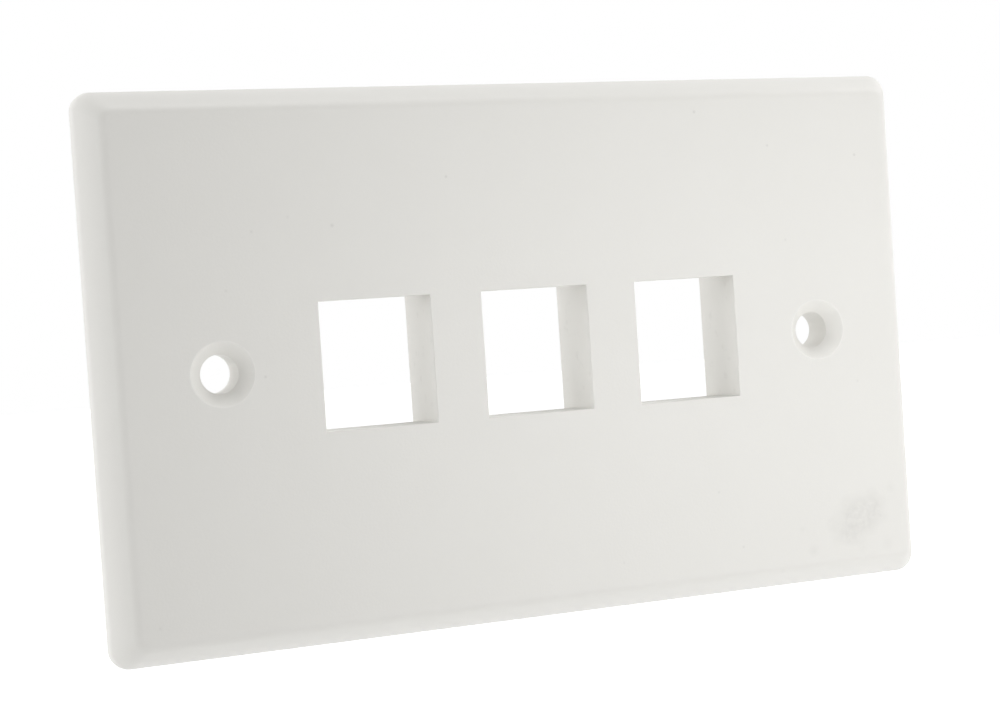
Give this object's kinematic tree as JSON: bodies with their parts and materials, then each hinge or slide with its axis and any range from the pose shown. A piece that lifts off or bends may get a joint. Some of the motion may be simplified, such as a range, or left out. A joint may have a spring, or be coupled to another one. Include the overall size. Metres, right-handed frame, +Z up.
{
  "type": "keystone faceplate",
  "caption": "Single-gang wall faceplate with a row of keystone ports in its middle, a countersunk screw hole at each end, rolled edges and hollow back with latch frames.",
  "frame": {"origin": "the middle of the plane in which the rear rim meets the wall", "axes": "+X along the plate from one screw to the other, +Y into the wall, +Z up; the face looks towards -Y"},
  "size_m": [0.1138, 0.0097, 0.0702],
  "materials": {
    "white_plastic": "fine satin moulded texture"
  },
  "bodies": {
    "root": {"faceplate": "white_plastic"}
  },
  "joints": []
}
